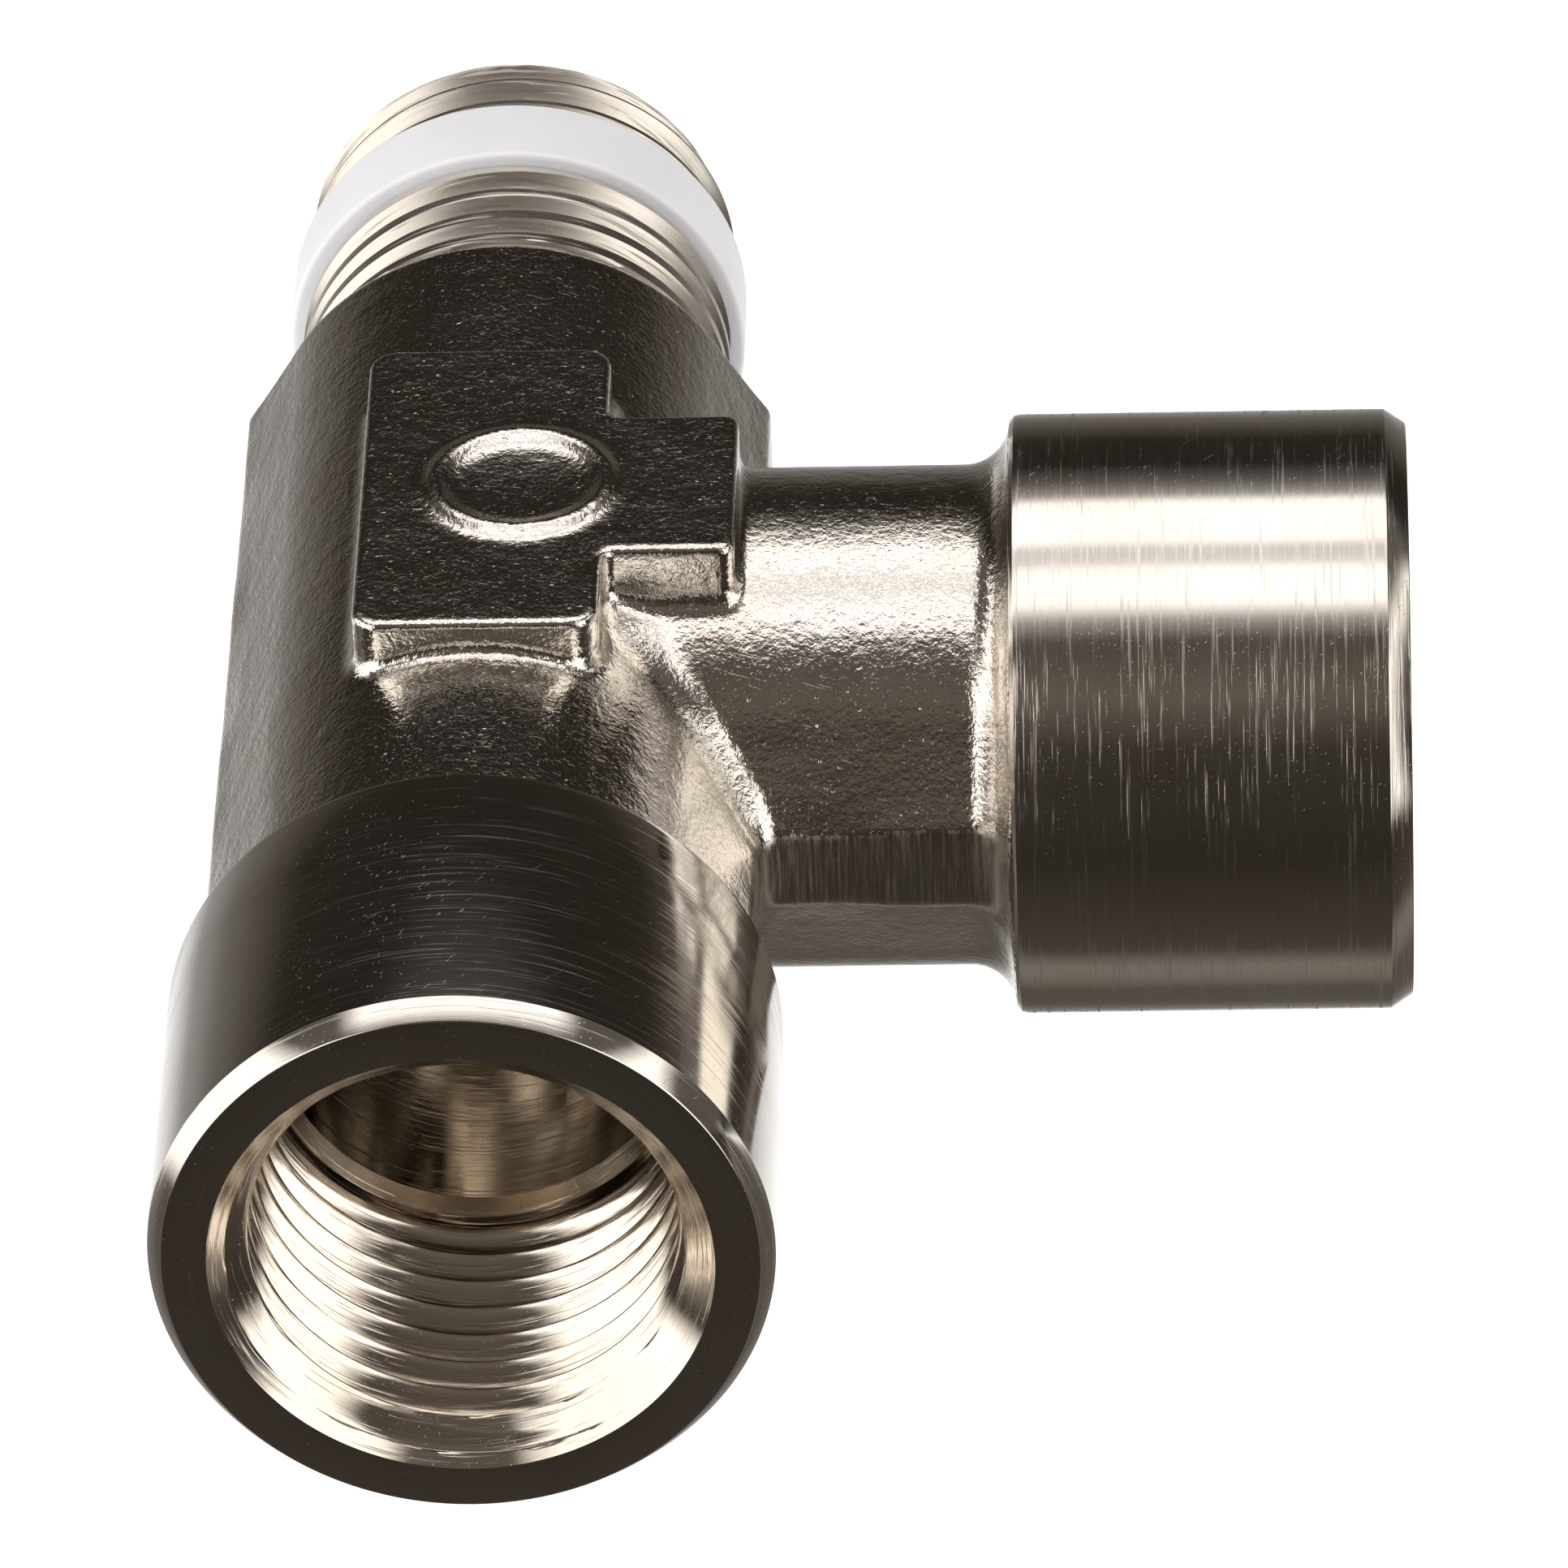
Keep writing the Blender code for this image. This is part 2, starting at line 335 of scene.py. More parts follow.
def softened(outline, radius, steps=3):
    """Round the inner corners of an outline with small arcs."""
    soft = [outline[0]]
    for before, corner, after in zip(outline, outline[1:], outline[2:]):
        back = Vector(before) - Vector(corner)
        ahead = Vector(after) - Vector(corner)
        opening = back.angle(ahead)
        reach = min(radius / math.tan(opening / 2), back.length / 2, ahead.length / 2)
        start = Vector(corner) + back.normalized() * reach
        end = Vector(corner) + ahead.normalized() * reach
        for step in range(steps + 1):
            part = step / steps
            pull = 2 * part * (1 - part)
            chord = start * (1 - part) ** 2 + end * part**2
            soft.append(tuple(chord + Vector(corner) * pull))
    return soft + [outline[-1]]


def rod(name, places, radii, facing, finish_number, finishes, hollow=False):
    """Make a closed solid round an axis from rows of radii, one row for each place on it.

    The axis is turned from +Z to where the solid faces. A hollow solid's rows form a loop,
    and any other solid gets a flat cap at each end.
    """
    rows, steps = radii.shape
    angles = 2 * math.pi * np.arange(steps) / steps
    across = radii * np.cos(angles)
    up = radii * np.sin(angles)
    along = np.repeat(np.asarray(places)[:, None], steps, 1)
    points = np.stack([across, up, along], -1).reshape(-1, 3) @ np.array(facing).T
    number = np.arange(rows * steps).reshape(rows, steps)
    after = np.roll(number, -1, axis=0) if hollow else number[1:]
    number = number if hollow else number[:-1]
    beside = np.roll(number, -1, axis=1)
    beyond = np.roll(after, -1, axis=1)
    faces = np.stack([number, beside, beyond, after], -1).reshape(-1, 4).tolist()
    if not hollow:
        faces.append(list(range(steps))[::-1])
        faces.append(list(range((rows - 1) * steps, rows * steps)))
    return mesh_object(name, points, faces, finish_number, finishes)


def turned(name, outline, facing, finish_number, finishes, hollow=False):
    """Turn an outline of (place, radius) points into a solid, from back to front."""
    places = [place for place, _ in outline]
    radii = np.repeat(np.array([[radius] for _, radius in outline]), TURNS, 1)
    return rod(name, places, radii, facing, finish_number, finishes, hollow)


def combine(body, tool, operation):
    """Apply a Boolean to the body's mesh and remove the tool."""
    step = body.modifiers.new(tool.name, "BOOLEAN")
    step.operation = operation
    step.solver = "MANIFOLD"
    step.object = tool
    graph = bpy.context.evaluated_depsgraph_get()
    result = bpy.data.meshes.new_from_object(body.evaluated_get(graph))
    body.modifiers.clear()
    body.data = result
    bpy.data.objects.remove(tool)


# ---------------------------------------------------------------- the tee body


def thread_wave(places, turn):
    """Return a right-hand thread's height, from 0 in a root to 1 on a crest."""
    swing = CREST_SHARPNESS * np.cos(2 * math.pi * (places / PITCH - turn))
    return 0.5 + 0.5 * np.arcsin(swing) / math.asin(CREST_SHARPNESS)


def threaded_rod(name, start, end, radius_at, facing, finish_number, finishes):
    """Make a closed rod whose mesh follows the thread's helix, so that its crests run clean.

    Its rows climb one pitch in a turn and are cut off at both ends, where the points that
    fall together are merged and the two openings filled.
    """
    step = PITCH / THREAD_ROWS
    first = start - PITCH - step
    count = math.ceil((end - first) / step) + THREAD_ROWS + 2
    turn = np.arange(THREAD_TURNS) / THREAD_TURNS
    climbing = first + step * np.arange(count)[:, None] + PITCH * turn
    places = np.clip(climbing, start, end)
    radii = radius_at(places, turn)
    angles = 2 * math.pi * turn
    points = np.stack([radii * np.cos(angles), radii * np.sin(angles), places], -1)
    points = points.reshape(-1, 3) @ np.array(facing).T
    number = np.arange(count * THREAD_TURNS).reshape(count, THREAD_TURNS)
    wide = np.full((count, THREAD_TURNS + 1), -1)
    wide[:, :-1] = number
    wide[:-THREAD_ROWS, -1] = number[THREAD_ROWS:, 0]
    quads = np.stack([wide[:-1, :-1], wide[:-1, 1:], wide[1:, 1:], wide[1:, :-1]], -1)
    quads = quads.reshape(-1, 4)
    quads = quads[quads.min(1) >= 0]
    made = mesh_object(name, points, quads.tolist(), finish_number, finishes)
    builder = bmesh.new()
    builder.from_mesh(made.data)
    bmesh.ops.remove_doubles(builder, verts=builder.verts, dist=1e-9)
    openings = [edge for edge in builder.edges if edge.is_boundary]
    caps = bmesh.ops.holes_fill(builder, edges=openings, sides=0)["faces"]
    for cap in caps:
        cap.material_index = finish_number
    bmesh.ops.recalc_face_normals(builder, faces=builder.faces)
    builder.to_mesh(made.data)
    builder.free()
    return made


def forging(finishes):
    """Make the forged stock, with the trimmed land and the faced shoulder marked."""
    reach = COLLAR_BACK + CORE_DEPTH + MARGIN
    side = CORE_RADIUS + MARGIN
    low = np.array([-side, -reach, -side])
    high = np.array([reach, SHOULDER + MARGIN, side])
    points, quads = surface_net(forged_field, low, high)
    points = relaxed(forged_field, points, quads, RELAX_ROUNDS)
    centres = points[quads].mean(1)
    x, y, z = centres.T
    normals = gradient(forged_field, centres)
    upright = np.abs(normals[:, 2]) < LAND_TILT
    level = np.abs(z) < LAND_HALF_HEIGHT + LAND_EDGE_REACH
    outermost = np.minimum(np.abs(x), np.where(x > 0, np.abs(y), np.inf))
    on_land = upright & level & (outermost > TUBE_RADIUS)
    faced = (normals[:, 1] > SHOULDER_TILT) & (y > SHOULDER - SHOULDER_DEPTH)
    numbers = np.where(on_land, TRIMMED, np.where(faced, TURNED_RUN, FORGED))
    return mesh_object("tee_body_finish", points, quads.tolist(), numbers, finishes)


def collar(name, facing, finish_number, finishes):
    """Make a turned collar with a chamfered rim."""
    front = [
        (CENTRE_TO_FACE - COLLAR_RADIUS, COLLAR_RADIUS),
        (CENTRE_TO_FACE - RIM_CHAMFER_AXIAL, COLLAR_RADIUS),
        (CENTRE_TO_FACE, COLLAR_RADIUS - RIM_CHAMFER_RADIAL),
        (CENTRE_TO_FACE, COUNTERSINK_RADIUS - RIM_OVERLAP),
    ]
    back = [
        (COLLAR_BACK, CORE_RADIUS - CORE_OVERLAP),
        (COLLAR_BACK, COLLAR_RADIUS),
        front[0],
    ]
    section = softened(back, COLLAR_BACK_EDGE) + softened(front, TURNED_EDGE)[1:]
    return turned(name, section, facing, finish_number, finishes)


def male_end_radius(places, turn):
    """Return the male end's radius: undercut, taper thread and tip chamfer."""
    depth = (THREAD_MAJOR - THREAD_MINOR) * fade(places, UNDERCUT_END, UNDERCUT_END + PITCH / 2)
    radius = THREAD_MINOR + depth * thread_wave(places, turn)
    radius -= TAPER * np.maximum(places - UNDERCUT_END, 0)
    undercut = 1 - fade(places, UNDERCUT_END - UNDERCUT_RAMP, UNDERCUT_END)
    radius -= (THREAD_MINOR - UNDERCUT_RADIUS) * undercut
    chamfer_start = CENTRE_TO_FACE - TIP_CHAMFER
    tip_radius = THREAD_MAJOR - TAPER * (chamfer_start - UNDERCUT_END)
    return np.minimum(radius, tip_radius - np.maximum(places - chamfer_start, 0))


def socket_radius(places, turn):
    """Return a socket cutter's radius: countersink, full thread and its run-out."""
    depth = (THREAD_MAJOR - THREAD_MINOR) * fade(places, THREAD_END, THREAD_END + PITCH)
    radius = THREAD_MINOR + depth * thread_wave(places, turn)
    countersink = COUNTERSINK_RADIUS - (CENTRE_TO_FACE - places)
    return np.maximum(radius, countersink)


def groove_cutter(finishes):
    """Make the ring that cuts the seal ring's groove."""
    section = [
        (RING_START - RING_CLEARANCE, GROOVE_RADIUS),
        (RING_START - RING_CLEARANCE, COLLAR_RADIUS),
        (RING_END + RING_CLEARANCE, COLLAR_RADIUS),
        (RING_END + RING_CLEARANCE, GROOVE_RADIUS),
    ]
    return turned("groove", section, TOWARDS_MALE_END, TURNED_RUN, finishes, hollow=True)


def cut_socket(body, name, facing, plain_bore, finish_number, finishes):
    """Cut a plain bore, and then the threaded socket that leads into it."""
    step_start = THREAD_END - (THREAD_MINOR - BORE_RADIUS)
    bore = plain_bore + [(step_start, BORE_RADIUS), (THREAD_END + FLUSH, THREAD_MINOR + FLUSH)]
    end = CENTRE_TO_FACE + SOCKET_OVERSHOOT
    combine(body, turned(name + "_bore", bore, facing, finish_number, finishes), "DIFFERENCE")
    thread = threaded_rod(
        name + "_thread", THREAD_END, end, socket_radius, facing, finish_number, finishes
    )
    combine(body, thread, "DIFFERENCE")


def tee_body(finishes):
    """Make the body: forging, collars and male end joined, then the groove and bores cut."""
    body = forging(finishes)
    combine(body, collar("run_collar", TOWARDS_SOCKET, TURNED_RUN, finishes), "UNION")
    combine(body, collar("branch_collar", TOWARDS_BRANCH, TURNED_BRANCH, finishes), "UNION")
    male_end = threaded_rod(
        "male_end",
        SHOULDER - MALE_END_BURIED,
        CENTRE_TO_FACE,
        male_end_radius,
        TOWARDS_MALE_END,
        THREADED,
        finishes,
    )
    combine(body, male_end, "UNION")
    combine(body, groove_cutter(finishes), "DIFFERENCE")
    run_bore = [
        (-CENTRE_TO_FACE - CHAMFER_OVERSHOOT, MALE_BORE_MOUTH),
        (-CENTRE_TO_FACE + MALE_BORE_CHAMFER, MALE_BORE_RADIUS),
        (-RUN_BORE_END - DRILL_POINT, MALE_BORE_RADIUS),
        (-RUN_BORE_END, BORE_RADIUS),
    ]
    branch_bore = [(BRANCH_BORE_START, BORE_RADIUS)]
    cut_socket(body, "run", TOWARDS_SOCKET, run_bore, BORED_RUN, finishes)
    cut_socket(body, "branch", TOWARDS_BRANCH, branch_bore, BORED_BRANCH, finishes)
    crease_turned_edges(body.data)
    return body


def crease_turned_edges(mesh):
    """Keep hard edges only where a turned face takes part in them."""
    mesh.shade_smooth()
    mesh.set_sharp_from_angle(angle=math.radians(CREASE_ANGLE))
    forged_sides = np.zeros(len(mesh.edges), int)
    sides = np.zeros(len(mesh.edges), int)
    edges = np.zeros(len(mesh.loops), int)
    starts = np.zeros(len(mesh.polygons), int)
    totals = np.zeros(len(mesh.polygons), int)
    numbers = np.zeros(len(mesh.polygons), int)
    mesh.loops.foreach_get("edge_index", edges)
    mesh.polygons.foreach_get("loop_start", starts)
    mesh.polygons.foreach_get("loop_total", totals)
    mesh.polygons.foreach_get("material_index", numbers)
    per_loop = np.repeat(numbers, totals)
    np.add.at(sides, edges, 1)
    np.add.at(forged_sides, edges, per_loop < TURNED_RUN)
    sharp = mesh.attributes["sharp_edge"]
    flags = np.zeros(len(mesh.edges), bool)
    sharp.data.foreach_get("value", flags)
    flags &= forged_sides < sides
    sharp.data.foreach_set("value", flags)


def seal_ring(finish):
    """Make the seal ring with softly rounded edges, sitting in its groove."""
    inner = GROOVE_RADIUS + RING_CLEARANCE
    middle = (RING_START + RING_END) / 2
    section = [
        (middle, inner),
        (RING_END, inner),
        (RING_END, RING_RADIUS),
        (RING_START, RING_RADIUS),
        (RING_START, inner),
        (middle - RING_SEAM, inner),
    ]
    outline = softened(section, RING_EDGE, steps=6)[::-1]
    return turned("thread_seal_ring_finish", outline, TOWARDS_MALE_END, 0, [finish], hollow=True)


# ---------------------------------------------------------------- materials


class Nodes:
    """A small helper that adds and joins the nodes of one material or world."""

    def __init__(self, owner):
        owner.use_nodes = True
        self.tree = owner.node_tree

    def add(self, kind, settings=None, **inputs):
        """Add a node, set its settings, and set or join its inputs by name or number."""
        node = self.tree.nodes.new(kind)
        for name, value in (settings or {}).items():
            setattr(node, name, value)
        for name, value in inputs.items():
            numbered = name[0] == "i" and name[1:].isdigit()
            place = int(name[1:]) if numbered else name.replace("_", " ")
            self.set(node.inputs[place], value)
        return node

    def set(self, socket, value):
        """Join an output to a socket, or set the socket's own value."""
        if isinstance(value, bpy.types.NodeSocket):
            self.tree.links.new(value, socket)
        else:
            socket.default_value = value

    def math(self, operation, *values):
        """Add a math node and return its output."""
        inputs = {f"i{place}": value for place, value in enumerate(values)}
        return self.add("ShaderNodeMath", {"operation": operation}, **inputs).outputs[0]

    def vector(self, x, y, z):
        """Join three numbers into a vector."""
        return self.add("ShaderNodeCombineXYZ", X=x, Y=y, Z=z).outputs[0]

    def noise(self, vector, scale, detail=2.0, roughness=0.5, w=None):
        """Add a noise texture and return its value."""
        settings = {"noise_dimensions": "3D" if w is None else "4D"}
        inputs = {"Vector": vector, "Scale": scale, "Detail": detail, "Roughness": roughness}
        if w is not None:
            inputs["W"] = w
        return self.add("ShaderNodeTexNoise", settings, **inputs).outputs["Fac"]

    def spread(self, value, low, high, to_low=0.0, to_high=1.0):
        """Map a value from one range to another, kept within it."""
        inputs = {"From_Min": low, "From_Max": high, "To_Min": to_low, "To_Max": to_high}
        return self.add("ShaderNodeMapRange", {}, Value=value, **inputs).outputs[0]

    def bump(self, height, distance, normal=None):
        """Add a bump of the given height in millimetres and return its normal."""
        inputs = {"Height": height, "Distance": distance * MM, "Strength": 1.0}
        if normal is not None:
            inputs["Normal"] = normal
        return self.add("ShaderNodeBump", {}, **inputs).outputs[0]

    def blend(self, factor, first, second):
        """Blend two colours."""
        node = self.add("ShaderNodeMix", {"data_type": "RGBA"})
        self.set(node.inputs[0], factor)
        self.set(node.inputs[6], first)
        self.set(node.inputs[7], second)
        return node.outputs[2]


# Each plate's colour where it is clean and where it is stained. Brass shows through the
# thin one, inside the sockets and bores.
NICKEL_PLATE = ((0.86, 0.82, 0.765, 1), (0.81, 0.745, 0.665, 1))
THIN_PLATE = ((0.92, 0.855, 0.765, 1), (0.87, 0.785, 0.67, 1))
PTFE_COLOURS = ((0.78, 0.785, 0.82, 1), (0.75, 0.753, 0.785, 1))
PTFE_GLOW_DEPTH = 0.4

# Relief in millimetres, and the ways that scratches run in radians.
WAVE_DEPTH = 0.03
DENT_DEPTH = 0.021
GRAIN_DEPTH = 0.016
PIT_DEPTH = 0.006
DRAG_DEPTH = 0.002
PTFE_RING_DEPTH = 0.002
SCRATCH_DEPTH = 0.0018
SCRATCH_SIZE = (1.5, 0.025, 0.055)
FORGED_SCRATCH_ANGLES = (0.6, -0.2, 2.2)
TURNED_SCRATCH_ANGLE = 0.9

# Name, axis, rings to the millimetre, depth in millimetres, least and most roughness, plate.
TURNED_FINISHES = [
    ("nickel_turned_run", "Y", 20.0, 0.0006, 0.06, 0.14, NICKEL_PLATE),
    ("nickel_turned_branch", "X", 20.0, 0.0013, 0.06, 0.2, NICKEL_PLATE),
    ("nickel_threaded", "Y", 9.0, 0.002, 0.24, 0.36, NICKEL_PLATE),
    ("nickel_bored_run", "Y", 16.0, 0.0014, 0.06, 0.16, THIN_PLATE),
    ("nickel_bored_branch", "X", 16.0, 0.0014, 0.06, 0.16, THIN_PLATE),
]


def nickel_material(name, surface, plate):
    """Return a nickel material whose roughness and normal come from a surface function."""
    made = bpy.data.materials.new(name)
    nodes = Nodes(made)
    place = nodes.add("ShaderNodeTexCoord").outputs["Object"]
    x, y, z = nodes.add("ShaderNodeSeparateXYZ", Vector=place).outputs
    clouds = nodes.noise(place, 0.35 / MM, detail=4.0, roughness=0.6)
    stain = nodes.spread(clouds, 0.45, 0.75)
    roughness, normal = surface(nodes, place, x, y, z)
    shader = made.node_tree.nodes["Principled BSDF"]
    nodes.set(shader.inputs["Base Color"], nodes.blend(stain, *plate))
    nodes.set(shader.inputs["Roughness"], roughness)
    nodes.set(shader.inputs["Normal"], normal)
    shader.inputs["Metallic"].default_value = 1.0
    return made


def scratches(nodes, place, angle, normal):
    """Add sparse fine scratches that run roughly along one direction."""
    drawn_out = nodes.add(
        "ShaderNodeMapping",
        {"vector_type": "TEXTURE"},
        Vector=place,
        Rotation=(0.3, 0.2, angle),
        Scale=tuple(size * MM for size in SCRATCH_SIZE),
    ).outputs[0]
    lines = nodes.noise(drawn_out, 1.0, detail=1.0, roughness=0.4)
    return nodes.bump(nodes.spread(lines, 0.74, 0.80), -SCRATCH_DEPTH, normal)


def forged_surface(nodes, place, x, y, z):
    """Give the blasted forging its orange peel, fine speckle and handling scratches."""
    patches = nodes.noise(place, 0.9 / MM, detail=3.0, roughness=0.6)
    waves = nodes.noise(place, 0.55 / MM, detail=1.0)
    dents = nodes.noise(place, 2.4 / MM, detail=2.0)
    grain = nodes.noise(place, 8.5 / MM, detail=2.0, roughness=0.6)
    pits = nodes.spread(nodes.noise(place, 7 / MM, detail=1.0), 0.71, 0.80)
    normal = nodes.bump(waves, WAVE_DEPTH)
    normal = nodes.bump(dents, DENT_DEPTH, normal)
    normal = nodes.bump(grain, GRAIN_DEPTH, normal)
    normal = nodes.bump(pits, -PIT_DEPTH, normal)
    for angle in FORGED_SCRATCH_ANGLES:
        normal = scratches(nodes, place, angle, normal)
    roughness = nodes.spread(patches, 0.3, 0.75, 0.07, 0.15)
    return roughness, normal


def trimmed_surface(nodes, place, x, y, z):
    """Give the trimmed land the upright drag lines of the trimming die."""
    across = 15.0 / MM
    upward = 0.5 / MM
    drag = nodes.vector(
        nodes.math("MULTIPLY", x, across),
        nodes.math("MULTIPLY", y, across),
        nodes.math("MULTIPLY", z, upward),
    )
    lines = nodes.noise(drag, 1.0, detail=3.0, roughness=0.65)
    broad = nodes.noise(drag, 0.12, detail=2.0)
    normal = nodes.bump(broad, 2 * DRAG_DEPTH)
    normal = nodes.bump(lines, DRAG_DEPTH, normal)
    roughness = nodes.spread(lines, 0.35, 0.7, 0.08, 0.5)
    return roughness, normal


def turned_surface(axis, fineness, depth, smooth, rough):
    """Return a surface function for metal turned round one axis: fine rings and streaks.

    The fineness is rings to the millimetre, the depth is in millimetres, and smooth and
    rough are the two ends of the roughness.
    """

    def surface(nodes, place, x, y, z):
        along, across = (y, x) if axis == "Y" else (x, y)
        squares = [nodes.math("MULTIPLY", value, value) for value in (across, z)]
        radius = nodes.math("SQRT", nodes.math("ADD", *squares))
        around = 0.45 / MM
        rings = nodes.vector(
            nodes.math("MULTIPLY", across, around),
            nodes.math("MULTIPLY", along, fineness / MM),
            nodes.math("MULTIPLY", z, around),
        )
        inward = nodes.math("MULTIPLY", radius, fineness / MM)
        slowly_inward = nodes.math("MULTIPLY", inward, 0.14)
        lines = nodes.noise(rings, 1.0, detail=3.0, roughness=0.7, w=inward)
        broad = nodes.noise(rings, 0.14, detail=2.0, w=slowly_inward)
        streaks = nodes.noise(rings, 0.9, detail=2.0, roughness=0.6, w=inward)
        streaks = nodes.spread(streaks, 0.56, 0.66)
        normal = nodes.bump(broad, 3 * depth)
        normal = nodes.bump(lines, depth, normal)
        normal = nodes.bump(streaks, -1.5 * depth, normal)
        normal = scratches(nodes, place, TURNED_SCRATCH_ANGLE, normal)
        scuffed = nodes.math("MULTIPLY", streaks, rough)
        roughness = nodes.math("ADD", nodes.spread(lines, 0.3, 0.75, smooth, rough), scuffed)
        return roughness, normal

    return surface


def nickel_finishes():
    """Return the body's materials, in the order of the finish numbers."""
    made = [
        nickel_material("nickel_forged", forged_surface, NICKEL_PLATE),
        nickel_material("nickel_trimmed", trimmed_surface, NICKEL_PLATE),
    ]
    for name, axis, fineness, depth, smooth, rough, plate in TURNED_FINISHES:
        surface = turned_surface(axis, fineness, depth, smooth, rough)
        made.append(nickel_material(name, surface, plate))
    return made


def ptfe_material():
    """Return slightly waxy white PTFE with faint rings left by the turning tool."""
    made = bpy.data.materials.new("white_ptfe")
    nodes = Nodes(made)
    place = nodes.add("ShaderNodeTexCoord").outputs["Object"]
    x, y, z = nodes.add("ShaderNodeSeparateXYZ", Vector=place).outputs
    around = 0.3 / MM
    along = 9.0 / MM
    rings = nodes.vector(
        nodes.math("MULTIPLY", x, around),
        nodes.math("MULTIPLY", y, along),
        nodes.math("MULTIPLY", z, around),
    )
    lines = nodes.noise(rings, 1.0)
    clouds = nodes.noise(place, 0.8 / MM, detail=3.0, roughness=0.6)
    colour = nodes.blend(nodes.spread(clouds, 0.35, 0.7), *PTFE_COLOURS)
    shader = made.node_tree.nodes["Principled BSDF"]
    nodes.set(shader.inputs["Base Color"], colour)
    nodes.set(shader.inputs["Roughness"], nodes.spread(lines, 0.3, 0.7, 0.36, 0.5))
    nodes.set(shader.inputs["Normal"], nodes.bump(lines, PTFE_RING_DEPTH))
    shader.inputs["Subsurface Weight"].default_value = 0.25
    shader.inputs["Subsurface Radius"].default_value = (PTFE_GLOW_DEPTH * MM,) * 3
    shader.inputs["Subsurface Scale"].default_value = 1.0
    shader.inputs["IOR"].default_value = 1.35
    return made


# ---------------------------------------------------------------- studio


# How bright the room is, by direction round the branch's axis: 0 is level behind the
# fitting, 90 straight up, 180 level in front of it and 270 straight down.
ROOM = [
    (-90, 0.39, 0.25),
    (-80, 0.29, 0.25),
    (-62, 0.30, 0.2),
    (-48, 0.45, 0.1),
    (-37, 0.90, 0.0),
    (-30, 0.74, 0.0),
    (-23, 0.50, 0.05),
    (-10, 0.36, 0.15),
    (4, 0.27, 0.25),
    (16, 0.16, 0.35),
    (36, 0.14, 0.35),
    (46, 0.30, 0.15),
    (54, 0.50, 0.08),
    (58, 1.00, 0.09),
    (76, 1.00, 0.07),
    (80, 0.72, 0.06),
    (86, 0.76, 0.06),
    (90, 1.00, 0.07),
    (103, 1.00, 0.08),
    (110, 0.52, 0.12),
    (118, 0.26, 0.25),
    (140, 0.33, 0.3),
    (160, 0.20, 0.3),
    (205, 0.17, 0.35),
    (250, 0.24, 0.3),
    (261, 0.41, 0.2),
    (270, 0.39, 0.25),
]
ROOM_STRENGTH = 1.45

# The overhead softbox ends this many degrees to either side; beside it, the room is dim.
OVERHEAD_HALF_WIDTH = 32.0
OVERHEAD_SPAN = (48.0, 118.0)
BESIDE_OVERHEAD = (0.3, 0.2)

# The side softboxes in degrees: their bearing from straight behind the fitting, the height
# of their feet, the height of their tops and how it climbs with the bearing, and how far
# to the right any of them reaches.
SIDE_BOX_SPAN = (68.0, 150.0)
SIDE_BOX_FOOT = -12.0
SIDE_BOX_TOP = 10.0
SIDE_BOX_SLOPE = 0.25
SIDE_BOX_RIGHT_END = 65.0
SIDE_BOX_COLOUR = (1.0, 0.96, 0.90, 1)
BOX_EDGE = 4.0
NO_LIMIT = 180.0

# Name, place and size in metres, and power in watts.
SOFT_LIGHTS = [
    ("overhead_fill", (0.0, -0.05, 0.6), 0.8, 2.0),
    ("front_fill", (-0.25, -0.5, 0.35), 0.5, 0.6),
]
FLOOR_GLOW = 1.0
FLOOR_HALF_SIZE = 1.5
FLOOR_COLOURS = ((0.93, 0.93, 0.93, 1), (0.91, 0.91, 0.91, 1))

# The camera: angles in degrees, distances and lens in millimetres.
CAMERA_AZIMUTH = -2.31
CAMERA_ELEVATION = 34.63
CAMERA_ROLL = -2.14
CAMERA_DISTANCE = 306.4
CAMERA_AIM = (6.0, 0.0, -1.7)
CAMERA_LENS = 335.8


def grey(level, warmth):
    """Return a linear colour from a display grey and how warm it is."""
    linear = level**2.2
    return (linear, linear * (1 - 0.55 * warmth), linear * (1 - warmth), 1)


def window(nodes, value, low, high):
    """Return 1 where a value lies between two limits, with soft edges."""
    rise = nodes.spread(value, low - BOX_EDGE, low + BOX_EDGE)
    drop = nodes.spread(value, high - BOX_EDGE, high + BOX_EDGE, 1.0, 0.0)
    return nodes.math("MULTIPLY", rise, drop)


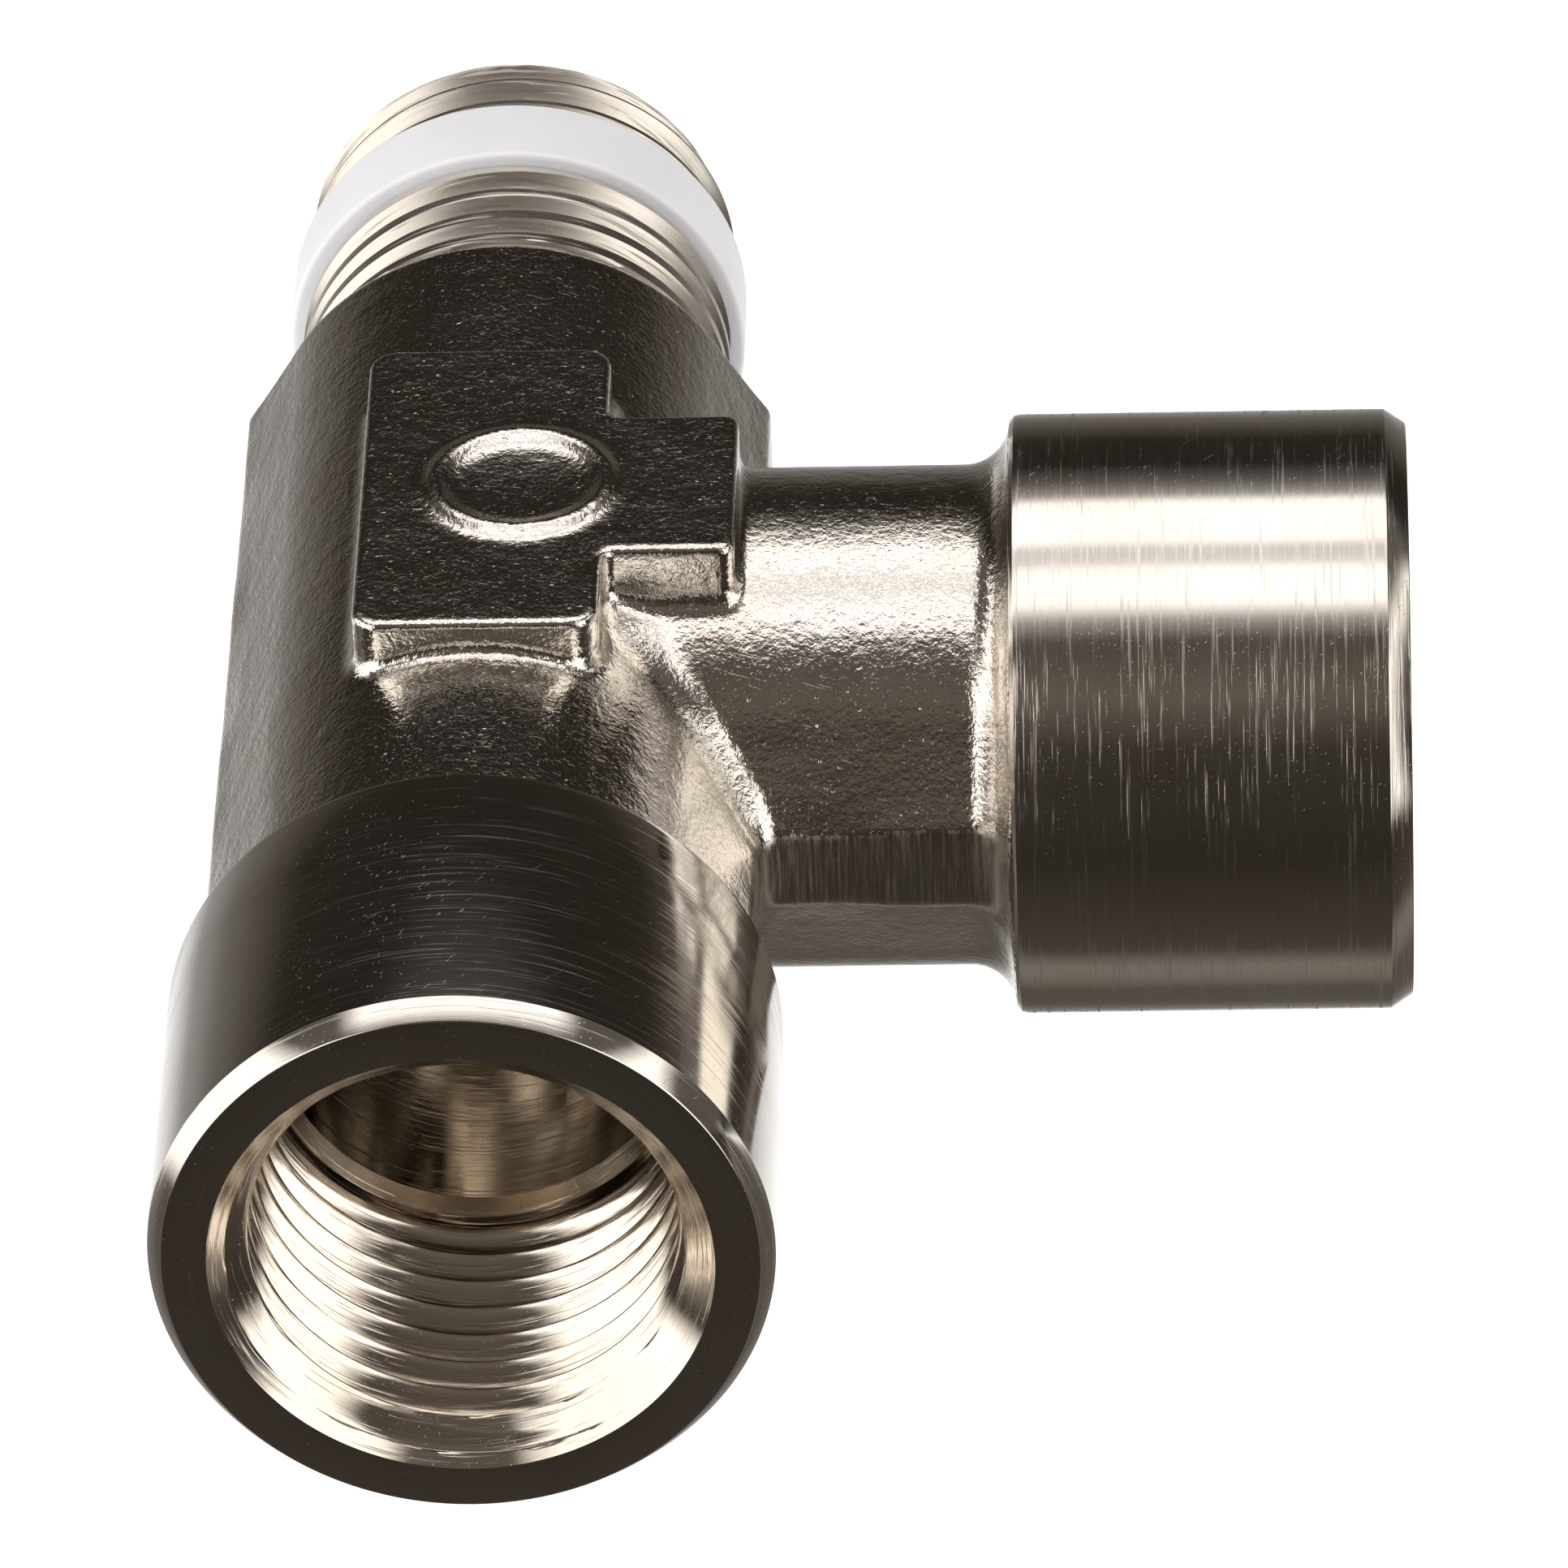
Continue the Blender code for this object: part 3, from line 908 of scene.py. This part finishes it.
def studio_world():
    """Make a dark warm room with a wide softbox overhead and a low one at each side."""
    world = bpy.data.worlds.new("studio")
    bpy.context.scene.world = world
    nodes = Nodes(world)
    direction = nodes.add("ShaderNodeTexCoord").outputs["Generated"]
    x, y, z = nodes.add("ShaderNodeSeparateXYZ", Vector=direction).outputs
    degrees = 180 / math.pi
    around = nodes.math("MULTIPLY", nodes.math("ARCTAN2", z, y), degrees)
    around = nodes.math("WRAP", around, 270.0, -90.0)
    ramp = nodes.add("ShaderNodeValToRGB", Fac=nodes.spread(around, -90.0, 270.0))
    stops = ramp.color_ramp.elements
    stops.remove(stops[1])
    for number, (angle, level, warmth) in enumerate(ROOM):
        part = (angle + 90) / 360
        stop = stops[0] if number == 0 else stops.new(part)
        stop.position = part
        stop.color = grey(level, warmth)
    sideways = nodes.math("MULTIPLY", nodes.math("ARCSINE", x), degrees)
    beside_overhead = nodes.math(
        "MULTIPLY",
        window(nodes, nodes.math("ABSOLUTE", sideways), OVERHEAD_HALF_WIDTH, 90.0),
        window(nodes, around, *OVERHEAD_SPAN),
    )
    colour = nodes.blend(beside_overhead, ramp.outputs["Color"], grey(*BESIDE_OVERHEAD))
    bearing = nodes.math("MULTIPLY", nodes.math("ARCTAN2", x, y), degrees)
    turn = nodes.math("ABSOLUTE", bearing)
    height = nodes.math("MULTIPLY", nodes.math("ARCSINE", z), degrees)
    over_edge = nodes.math("SUBTRACT", height, nodes.math("MULTIPLY", turn, SIDE_BOX_SLOPE))
    side_boxes = window(nodes, turn, *SIDE_BOX_SPAN)
    for value, low, high in (
        (height, SIDE_BOX_FOOT, NO_LIMIT),
        (over_edge, -NO_LIMIT, SIDE_BOX_TOP),
        (sideways, -NO_LIMIT, SIDE_BOX_RIGHT_END),
    ):
        side_boxes = nodes.math("MULTIPLY", side_boxes, window(nodes, value, low, high))
    colour = nodes.blend(side_boxes, colour, SIDE_BOX_COLOUR)
    background = world.node_tree.nodes["Background"]
    nodes.set(background.inputs["Color"], colour)
    background.inputs["Strength"].default_value = ROOM_STRENGTH


def soft_light(name, place, size, power):
    """Add a square area light that looks at the fitting and isn't mirrored in the metal."""
    data = bpy.data.lights.new(name, "AREA")
    data.energy = power
    data.size = size
    light = bpy.data.objects.new(name, data)
    light.location = place
    light.rotation_euler = (CENTRE - Vector(place)).to_track_quat("-Z", "Y").to_euler()
    light.visible_glossy = False
    light.visible_camera = False
    bpy.context.scene.collection.objects.link(light)


def studio_floor():
    """Lay a large pale floor that the metal doesn't mirror."""
    half = FLOOR_HALF_SIZE
    corners = [(-half, -half, 0), (half, -half, 0), (half, half, 0), (-half, half, 0)]
    mesh = bpy.data.meshes.new("studio_floor")
    mesh.from_pydata(corners, [], [(0, 1, 2, 3)])
    made = bpy.data.materials.new("studio_paper")
    nodes = Nodes(made)
    place = nodes.add("ShaderNodeTexCoord").outputs["Object"]
    colour = nodes.blend(nodes.noise(place, 400.0), *FLOOR_COLOURS)
    shader = made.node_tree.nodes["Principled BSDF"]
    nodes.set(shader.inputs["Base Color"], colour)
    shader.inputs["Roughness"].default_value = 0.9
    shader.inputs["Specular IOR Level"].default_value = 0.0
    shader.inputs["Emission Color"].default_value = (1, 1, 1, 1)
    shader.inputs["Emission Strength"].default_value = FLOOR_GLOW
    mesh.materials.append(made)
    floor = bpy.data.objects.new("studio_floor", mesh)
    bpy.context.scene.collection.objects.link(floor)
    floor.visible_glossy = False


def camera():
    """Add the camera, looking down along the run with the branch to the right."""
    azimuth = math.radians(CAMERA_AZIMUTH)
    elevation = math.radians(CAMERA_ELEVATION)
    level = math.cos(elevation)
    ahead = Vector((math.sin(azimuth) * level, math.cos(azimuth) * level, -math.sin(elevation)))
    right = Vector((math.cos(azimuth), -math.sin(azimuth), 0))
    up = right.cross(ahead)
    roll = math.radians(CAMERA_ROLL)
    tilted_right = math.cos(roll) * right + math.sin(roll) * up
    tilted_up = tilted_right.cross(ahead)
    data = bpy.data.cameras.new("camera")
    data.lens = CAMERA_LENS
    data.sensor_width = 36
    data.clip_start = 0.01
    made = bpy.data.objects.new("camera", data)
    turn = Matrix((tilted_right, tilted_up, -ahead)).transposed()
    place = CENTRE + (Vector(CAMERA_AIM) - ahead * CAMERA_DISTANCE) * MM
    made.matrix_world = Matrix.Translation(place) @ turn.to_4x4()
    bpy.context.scene.collection.objects.link(made)
    bpy.context.scene.camera = made


# ---------------------------------------------------------------- the scene


def place_piece(piece, node):
    """Put a piece at the tee's centre, in place of its CAD node."""
    piece.location = CENTRE
    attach(piece, "root")
    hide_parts(node)


bpy.context.scene.view_settings.view_transform = "Standard"
place_piece(tee_body(nickel_finishes()), "tee_body")
place_piece(seal_ring(ptfe_material()), "thread_seal_ring")
studio_world()
studio_floor()
for light in SOFT_LIGHTS:
    soft_light(*light)
camera()
